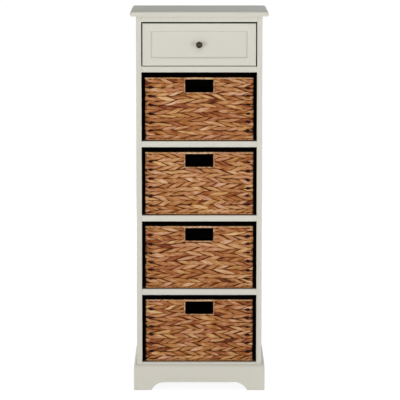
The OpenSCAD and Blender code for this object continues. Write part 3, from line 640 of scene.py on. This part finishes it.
def course_lines(low, high, sill, rng):
    """Heights of the lines between the courses, as a function of distance along the wall. Away from the
    hand hole they are evenly spaced and wander a little; towards it the lower ones spread up to the sill
    and the upper ones close up between the sill and the rim."""
    even = np.linspace(low, high, courses + 1)
    at_hole = np.concatenate([np.linspace(low, sill, courses - 1), np.linspace(sill, high, 3)[1:]])
    seeds = rng.integers(1 << 30, size=len(even))

    def line(number, s):
        near = 1 - np.clip((way_round(s, 0) - hole_half) / hole_reach, 0, 1)
        near = near * near * (3 - 2 * near)
        stray = slow_noise(s, round_wall, 170 * MM, np.random.default_rng(seeds[number]))
        wander = course_wander * stray * (0 < number < courses) * (1 - near)
        return even[number] + wander + (at_hole - even)[number] * near

    return line


# One stitch of the plait, where a strand comes in from an edge on top of the others and dives at the
# middle: places along it, which lap over the stitch before and after, with the fall of its two edges
# in shares of half a course, and how far it stands out. A strand makes one on the upper half, the
# next on the lower half, and so on.
shown = np.array([0, 0.04, 0.10, 0.17, 0.25, 0.33, 0.41, 0.49, 0.57, 0.65, 0.73, 0.81, 0.88, 0.94, 1.0])
stitch_places = 1.16 * shown - 0.12
emerging = ((0.50 - shown) / 0.50).clip(0, 1) ** 1.15
diving = ((shown - 0.44) / 0.56).clip(0, 1) ** 1.15
outer_edge = 1.06 - 0.16 * ((0.25 - shown) / 0.25).clip(0, 1) ** 2 - 0.16 * shown - 0.88 * diving
inner_edge = 0.12 + 0.74 * emerging - 0.22 * shown
standing = np.sin(np.pi / 2 * (shown / 0.3).clip(0, 1)) * np.sin(np.pi / 2 * ((1 - shown) / 0.3).clip(0, 1))
swelling = 0.16 + 0.84 * np.sin(np.pi * shown) ** 0.7


def squared_oval(power):
    """Points round a circle pushed out towards a square: the cosine and the sine, each raised to a power
    below 1 with its sign kept."""
    a = full_turn(points_round)
    return [np.sign(wave) * np.abs(wave) ** power for wave in (np.cos(a), np.sin(a))]


def plait_strand(period, turns, begin, edges_at, squeeze_at, limits, rng, every=1):
    """One strand of a flat plait of three: points along it and round it, as along, across and out, its
    distance along, and three random numbers for each stitch. It is stitch after stitch, each mirrored from
    the last, at even places that stray a little. Its section is a squared oval between the stitch's edges,
    and its middle moves from 1.5 mm behind the wall's middle to 1 mm before it. Where limits are given it
    ends there, and with every at 2 it takes only each second place of a stitch."""
    stitches = np.arange(-2, 2 * turns + 2) if limits else np.arange(2 * turns)
    places = stitch_places[::every]
    base = ((stitches[:, None] + places + begin % 2) / (2 * turns) * period).ravel()
    side = np.repeat(1 - 2 * (stitches % 2), len(places))
    outer, inner, stand, swell, along = (np.tile(shape[::every], len(stitches)) for shape in (
        outer_edge, inner_edge, standing, swelling, shown - 0.5))
    breadth, lift, tilt = (np.repeat(rng.uniform(-1, 1, len(stitches)), len(places)) for _ in range(3))
    own = np.repeat(rng.normal(0, 1, (len(stitches), 3)), len(places), axis=0)
    s = base + stitch_stray * slow_noise(base, period, 75 * MM, rng)
    if limits:
        inside = np.flatnonzero((s > limits[0]) & (s < limits[1]))
        kept = np.arange(inside[0] - 1, inside[-1] + 2)
        s, side, outer, inner, stand, swell, along, breadth, lift, tilt, own = (
            x[kept] for x in (s, side, outer, inner, stand, swell, along, breadth, lift, tilt, own))
        s = s.clip(*limits)
    low, high = edges_at(s)
    half = (high - low) / 2 * squeeze_at(s)
    middle = (low + high) / 2 + half * (side * (outer + inner) / 2 + stitch_tilt * tilt * along)
    middle = middle + strand_sway * slow_noise(s, period, 70 * MM, rng)
    width = half * (outer - inner) / 2 * (strand_width + width_spread * breadth)
    thick = strand_half_thickness * swell * (1 + 0.08 * slow_noise(s, period, 50 * MM, rng))
    depth = (2.5 * stand - 1.5 + 0.45 * lift + 0.15 * slow_noise(s, period, 60 * MM, rng)) * MM
    oval_across, oval_out = squared_oval(0.8)
    across = middle[:, None] + width[:, None] * oval_across
    out = depth[:, None] + thick[:, None] * oval_out
    return s[:, None] + 0 * across, across, out, s, own


def plait_core(edges_at, squeeze_at, limits):
    """The parts of the stems that pass from one face of the plait to the other, as one thin flat band along
    the course, which spreads where the stitches are drawn in. Also how much they are drawn in."""
    s = np.linspace(*limits, core_places) if limits else np.linspace(0, round_wall, core_places + 1)[:-1]
    low, high = edges_at(s)
    tight = 1 - squeeze_at(s)
    half = (high - low) / 2 * (1.02 + 0.4 * tight)
    oval_across, oval_out = squared_oval(0.5)
    across = (low + high)[:, None] / 2 + half[:, None] * oval_across
    out = (0.5 * oval_out - 1.6 - 2 * tight[:, None]) * MM
    return s[:, None] + 0 * across, across, out, s, tight


def strand_dye(s, own, rng, period, usual):
    """Tone of a strand from 0, the dark purple and red stems, to 1, pale straw, and its hue from 0, yellow,
    to 1, mauve: the basket's usual tone, changing from stitch to stitch and slowly along, with a red stitch
    now and then."""
    drift = slow_noise(s, period, 30 * MM, rng)
    patch = np.clip((slow_noise(s, period, 110 * MM, rng) - 1) / 0.5, 0, 1)
    tone = usual + 0.06 * drift + 0.12 * own[:, 0] - 0.30 * (own[:, 2] > 1.5) - 0.16 * patch
    return tone.clip(0, 1), (0.42 + 0.28 * own[:, 1] + 0.12 * drift).clip(0, 1)


def strand_mesh(name, pieces):
    """One mesh of many strands. Each is a grid of points, along by around, with its distance along, whether
    it meets itself, its tone and hue for each row, and how much painted shade each point takes, mostly
    from how deep it lies in the strand's flanks. A strand that doesn't meet itself is closed at both ends."""
    points, faces, caps, uv = [], [], [], []
    values = {"tone": [], "hue": [], "flank_shade": []}
    start = 0
    for grid, run, meets, tone, hue, flank_shade in pieces:
        rows, columns = grid.shape[:2]
        points.append(grid.reshape(-1, 3))
        faces.append(start + grid_faces(rows, columns, round_rows=meets, round_columns=True))
        if not meets:
            caps += [start + np.arange(columns)[::-1], start + (rows - 1) * columns + np.arange(columns)]
        values["tone"].append(np.repeat(tone, columns))
        values["hue"].append(np.repeat(hue, columns))
        values["flank_shade"].append(np.broadcast_to(flank_shade, (rows, columns)).ravel())
        around = np.tile(np.abs(np.linspace(-1, 1, columns, endpoint=False)), rows) * strand_girth
        uv.append(np.stack([np.repeat(run, columns), around + start * 0.37 * MM], 1))
        start += rows * columns
    return add_piece(name, np.concatenate(points), np.concatenate(faces), caps, np.concatenate(uv),
                     **{label: np.concatenate(held) for label, held in values.items()})


# Painted crease shade: how deep a point lies in a crease between strands, from nearly closed to 1, fully open
crease_shade, given, result = shader_group(
    "crease_shade", [("Darkest", "NodeSocketFloat", 0.3)], [("Shade", "NodeSocketFloat", None)])
seen = add_node(crease_shade, "ShaderNodeAmbientOcclusion", {"samples": 10}, Distance=0.012)
shade = add_node(crease_shade, "ShaderNodeMapRange", {"clamp": True}, Value=seen.outputs["AO"],
                 From_Min=0.30, From_Max=0.88, To_Min=given["Darkest"], To_Max=1.0)
crease_shade.links.new(shade.outputs["Result"], result["Shade"])

# Painted warm shade: light that reaches a crease has gone from stem to stem, so the painted shade is
# redder there: a colour times the shade, to the power 1.9 for its green and to the power 3.8 for its blue
warm_shade, given, result = shader_group(
    "warm_shade", [("Colour", "NodeSocketColor", (1, 1, 1, 1)), ("Shade", "NodeSocketFloat", 1.0)],
    [("Colour", "NodeSocketColor", None)])
greener, bluer = (add_node(warm_shade, "ShaderNodeMath", {"operation": "POWER"}, in_0=given["Shade"],
                           in_1=power).outputs[0] for power in (1.9, 3.8))
warmth = add_node(warm_shade, "ShaderNodeCombineColor", Red=given["Shade"], Green=greener, Blue=bluer)
warmed = mix_colours(warm_shade, 1.0, given["Colour"], warmth.outputs[0], "MULTIPLY")
warm_shade.links.new(warmed, result["Colour"])


def hyacinth(name, ramp, fineness, roughness, bump, edge, crease):
    """Dried stem: the strand's own tone through the stems' colours, tinted by its hue, with fibres and
    folds along it, painted shade on its flanks, painted warm shade in its creases, painted shade in deep
    recesses and a silky gloss."""
    material, tree = new_material(name)
    tone, hue, flank_shade = (add_node(tree, "ShaderNodeAttribute", {"attribute_name": label}).outputs["Fac"]
                        for label in ("tone", "hue", "flank_shade"))
    strand = add_node(tree, "ShaderNodeUVMap", {"uv_map": "strand"})

    def streaks_of(along, around):
        """Streaks along the strand, with so many to the metre along it and round it."""
        drawn = add_node(tree, "ShaderNodeMapping", Vector=strand.outputs[0],
                         Scale=(along, around * fineness, 1))
        return use_group(tree, drawn_streaks, Vector=drawn.outputs[0], Fineness=1.0)["Streaks"]

    fibres = streaks_of(90, 1500)
    folds = streaks_of(24, 330)
    both =add_node(tree, "ShaderNodeMath", {"operation": "ADD"}, in_0=fibres, in_1=folds)
    streak = add_node(tree, "ShaderNodeMapRange", {"clamp": False}, Value=both.outputs[0], From_Min=0.6,
                      From_Max=1.4, To_Min=-0.40, To_Max=0.40)
    dye = add_node(tree, "ShaderNodeMath", {"operation": "ADD"}, in_0=tone, in_1=streak.outputs["Result"])
    tint = colour_ramp(tree, dye.outputs[0], [(place, colour(*shade)) for place, shade in ramp])
    lean = mix_colours(tree, hue, (0.994, 1.015, 0.785, 1), (0.994, 0.975, 1.165, 1))
    leaned = mix_colours(tree, 1.0, tint, lean, "MULTIPLY")
    # Painted shade, multiplied into the colour: on the flanks down to edge, in the creases down to crease
    # and made warmer there, and in deep recesses
    side = add_node(tree, "ShaderNodeMapRange", {"clamp": False}, Value=flank_shade, To_Min=1.0, To_Max=edge)
    deep = use_group(tree, crease_shade, Darkest=crease)["Shade"]
    inward = add_node(tree, "ShaderNodeMath", {"operation": "MULTIPLY"}, in_0=side.outputs["Result"],
                      in_1=deep)
    warm = use_group(tree, warm_shade, Colour=leaned, Shade=inward.outputs[0])["Colour"]
    shaded = times(tree, warm, use_group(tree, recess_shade, Darkest=0.02)["Shade"])
    gloss = add_node(tree, "ShaderNodeMapRange", Value=fibres, From_Min=0.3, From_Max=0.7,
                     To_Min=roughness - 0.08, To_Max=roughness + 0.1)
    ridge = add_node(tree, "ShaderNodeBump", Strength=bump, Distance=0.0009, Height=both.outputs[0])
    stem = add_node(tree, "ShaderNodeBsdfPrincipled", Base_Color=shaded, Roughness=gloss.outputs["Result"],
                    Normal=ridge.outputs[0], IOR=1.45, Specular_IOR_Level=0.15)
    add_node(tree, "ShaderNodeOutputMaterial", Surface=stem.outputs[0])
    return material


stem_colours = [(0.0, (90, 38, 20)), (0.17, (134, 67, 34)), (0.36, (163, 98, 57)), (0.56, (186, 129, 84)),
                (0.78, (207, 157, 116)), (1.0, (230, 191, 154))]
stems = hyacinth("water_hyacinth", stem_colours, fineness=1.0, roughness=0.52, bump=0.8, edge=0.5,
                 crease=0.07)
# Painted flank shade round a strand's section, strongest at its two edges
strand_flank_shade = np.abs(np.cos(full_turn(points_round))) ** 6


def plaited_walls(number):
    """All the strands of one basket's walls. The stitches that show inside are those of the outside turned
    round, pressed to a share of their thickness and moved inwards."""
    rng = np.random.default_rng(40 + number)
    usual = stem_tone[number]
    low, high = (corner.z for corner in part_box(f"basket_{number}_weave"))
    line = course_lines(low - course_tuck, high + course_tuck, high - hole_height - hole_binding, rng)
    end = hole_half + hole_clearance
    pieces, inner_pieces = [], []
    for course in range(courses):
        limits = (end, round_wall - end) if course >= courses - 2 else None
        # The course's two edges, how much it is drawn in, and where it ends
        plait = (lambda s: (line(course, s), line(course + 1, s)),
                 lambda s: drawn_in(s, limits),
                 limits)
        start, turns = rng.uniform(0, 2), rng.integers(*turns_round)
        for strand in range(strands):
            begin = start + 2 * strand / strands
            *grid, s, own = plait_strand(round_wall, turns, begin, *plait, rng)
            dye = strand_dye(s, own, rng, round_wall, usual)
            pieces.append((on_wall(*grid), s, not limits, *dye, strand_flank_shade))
            along, across, out, s, own = plait_strand(round_wall, turns, begin + 0.5, *plait, rng, every=2)
            grid = on_wall(along, across, -inside_thickness * out - inside_depth)[:, ::-1]
            dye = strand_dye(s, own, rng, round_wall, usual)
            inner_pieces.append((grid, s, not limits, *dye, strand_flank_shade[::-1]))
        *grid, s, tight = plait_core(*plait)
        tone, hue = strand_dye(s, np.zeros((len(s), 3)), rng, round_wall, usual)
        # Painted shade in the notches: where the plait is drawn in, the band's tone is lowered and its
        # painted flank shade raised
        tone = (tone - 2.2 * tight).clip(0, 1)
        inner_pieces.append((on_wall(*grid), s, not limits, tone, hue, 0.9 + 3 * tight[:, None]))
    piece = strand_mesh(f"basket_{number}_plaits", pieces)
    finish_piece(piece, f"basket_{number}", stems, "water_hyacinth", f"basket_{number}_weave")
    piece = strand_mesh(f"basket_{number}_plaits_inside", inner_pieces)
    finish_piece(piece, f"basket_{number}", stems, "water_hyacinth")


# The bindings: the rim and the foot are bound with a cord of two plies laid round the wire, and
# the loop that frames the hand hole is wound close with pale twine.
binding_height = 7 * MM
binding_points = 14
cord_lay = 25 * MM
cord_half = (3.5 * MM, 4.1 * MM)
cord_wander = 0.2 * MM
rows_a_lay = 14
twine_pitch = 5.5 * MM
twine_half = (2.6 * MM, 4.2 * MM)
rows_a_pitch = 7
hole_bend = 5 * MM
twine_colours = [(0.0, (136, 88, 58)), (0.5, (200, 152, 110)), (1.0, (236, 208, 178))]
twine = hyacinth("wound_twine", twine_colours, fineness=1.6, roughness=0.62, bump=0.5, edge=0.5,
                 crease=0.25)


def laid_cord(s, half_up, half_out):
    """Section of a cord of two plies: an oval whose radius has two lobes, which turn with the lay, and the
    painted shade that darkens the groove between the plies.
    """
    a = full_turn(binding_points)
    crest = np.abs(np.cos(a - 2 * np.pi * s[:, None] / cord_lay)) ** 0.7
    swell = 0.74 + 0.26 * crest
    return half_up * swell * np.sin(a), half_out * swell * np.cos(a), (1 - crest) ** 2


def wound_wire(s, half_up, half_out):
    """Section of a wire wound with twine: an oval whose radius dips to a groove once in each pitch, the
    groove running round the wire as a screw thread does, and the painted shade that darkens the groove."""
    a = full_turn(binding_points)
    crest = np.abs(np.sin(np.pi * s[:, None] / twine_pitch + a / 2)) ** 0.6
    swell = 0.84 + 0.16 * crest
    return half_up * swell * np.sin(a), half_out * swell * np.cos(a), (1 - crest) ** 2


def edge_cords(foot, rim, rng):
    """The cords of the foot and the rim, which wander a little. The rim's is paler over the hand hole."""
    lays = round(round_wall / cord_lay)
    s = np.linspace(0, round_wall, lays * rows_a_lay + 1)[:-1]
    away = np.minimum(s, round_wall - s)
    pieces = []
    for middle, pale in ((foot + binding_height / 2, 0), (rim - binding_height / 2, 0.3)):
        up, out, groove_shade = laid_cord(s * lays * cord_lay / round_wall, *cord_half)
        wander = cord_wander * slow_noise(s, round_wall, 60 * MM, rng)
        over_hole = pale / (1 + np.exp((away - hole_half) / (6 * MM)))
        tone = (0.5 + 0.12 * slow_noise(s, round_wall, 14 * MM, rng) + over_hole).clip(0, 1)
        hue = (0.55 + 0.2 * slow_noise(s, round_wall, 60 * MM, rng)).clip(0, 1)
        grid = on_wall(s[:, None] + 0 * up, middle + wander[:, None] + up * 0.94, out)
        pieces.append((grid, s, True, tone, hue, groove_shade))
    return pieces


def hole_loop(rim, rng):
    """The wound loop of the hand hole: down one side, a quarter circle, along the sill, a quarter circle
    and up the other side."""
    half = hole_half + hole_binding / 2
    sill = rim - binding_height - hole_height - hole_binding / 2
    drop = rim - binding_height * 0.6 - sill - hole_bend
    bend_run = hole_bend * np.pi / 2
    ends = np.cumsum([drop, bend_run, 2 * (half - hole_bend), bend_run, drop])
    s = np.linspace(0, ends[-1], int(ends[-1] / twine_pitch) * rows_a_pitch)
    part = np.searchsorted(ends, s).clip(0, 4)
    into = s - np.concatenate([[0], ends[:-1]])[part]
    bent = into / hole_bend
    still = 0 * s
    angle = np.choose(part, [still, bent, still + np.pi / 2, np.pi / 2 + bent, still + np.pi])
    across_wall = np.choose(part, [
        still - half,
        -half + hole_bend - hole_bend * np.cos(bent),
        -half + hole_bend + into,
        half - hole_bend + hole_bend * np.sin(bent),
        still + half])
    up_wall = np.choose(part, [
        sill + hole_bend + drop - into,
        sill + hole_bend - hole_bend * np.sin(bent),
        still + sill,
        sill + hole_bend - hole_bend * np.cos(bent),
        sill + hole_bend + into])
    side, out, groove_shade = wound_wire(s, *twine_half)
    grid = on_wall(across_wall[:, None] - side * np.cos(angle)[:, None],
                   up_wall[:, None] - side * np.sin(angle)[:, None], out)
    tone = (0.46 + 0.16 * slow_noise(s, ends[-1], 14 * MM, rng)).clip(0, 1)
    return grid, s, False, tone, 0.6 + 0 * s, groove_shade


def bindings(number):
    """The rim, the foot and the hand hole of one basket."""
    rng = np.random.default_rng(80 + number)
    low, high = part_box(f"basket_{number}_binding")
    piece = strand_mesh(f"basket_{number}_rim_and_foot", edge_cords(low.z, high.z, rng))
    finish_piece(piece, f"basket_{number}", twine, "twine", f"basket_{number}_binding")
    piece = strand_mesh(f"basket_{number}_hole_wrap", [hole_loop(high.z, rng)])
    finish_piece(piece, f"basket_{number}", twine, "twine", f"basket_{number}_hole_binding")


# The base: plaits of the same stems, laid side by side from end to end across the frame's wires,
# and pressed a little flatter than those of the walls.
mat_turns = 3
mat_course = 26 * MM
mat_thickness = 0.65
mat_margin = 0.5 * MM


def base_mat(number):
    """All the strands of one basket's base, which lie along X with their upper sides up."""
    rng = np.random.default_rng(120 + number)
    low, high = (np.array(corner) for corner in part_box(f"basket_{number}_mat"))
    run = high[0] - low[0]
    rows = max(3, round((high[1] - low[1]) / mat_course))
    edges = np.linspace(low[1], high[1], rows + 1)
    middle = (low[2] + high[2]) / 2
    limits = (mat_margin, run - mat_margin)
    pieces = []

    def laid(along, over, out):
        return np.stack([low[0] + along, over.clip(low[1], high[1]), middle + out * mat_thickness], -1)

    for row in range(rows):
        # Straight edges, and drawn in nowhere
        plait = (lambda s: (edges[row] + 0 * s, edges[row + 1] + 0 * s),
                 lambda s: 1 + 0 * s,
                 limits)
        start = rng.uniform(0, 2)
        for strand in range(strands):
            *grid, s, own = plait_strand(run, mat_turns, start + 2 * strand / strands, *plait, rng)
            dye = strand_dye(s, own, rng, 2 * run, stem_tone[number])
            pieces.append((laid(*grid), s, False, *dye, strand_flank_shade))
        *grid, s, tight = plait_core(*plait)
        # The band between the plaits: a tone of 0.4, and painted flank shade at 0.6
        pieces.append((laid(*grid), s, False, 0.4 + tight, 0.5 + tight, 0.6))
    piece = strand_mesh(f"basket_{number}_base", pieces)
    finish_piece(piece, f"basket_{number}", stems, "water_hyacinth", f"basket_{number}_mat")


# The wire frames inside the bindings: rings, uprights and crosswires of drawn steel, darkened by
# their lacquer. The four baskets are made one after another, each from its walls to its frame.
wire = steel("steel_wire", colour(48, 42, 36), 0.62)
for number in (1, 2, 3, 4):
    plaited_walls(number)
    bindings(number)
    base_mat(number)
    dress(wire, f"basket_{number}_wire_frame")
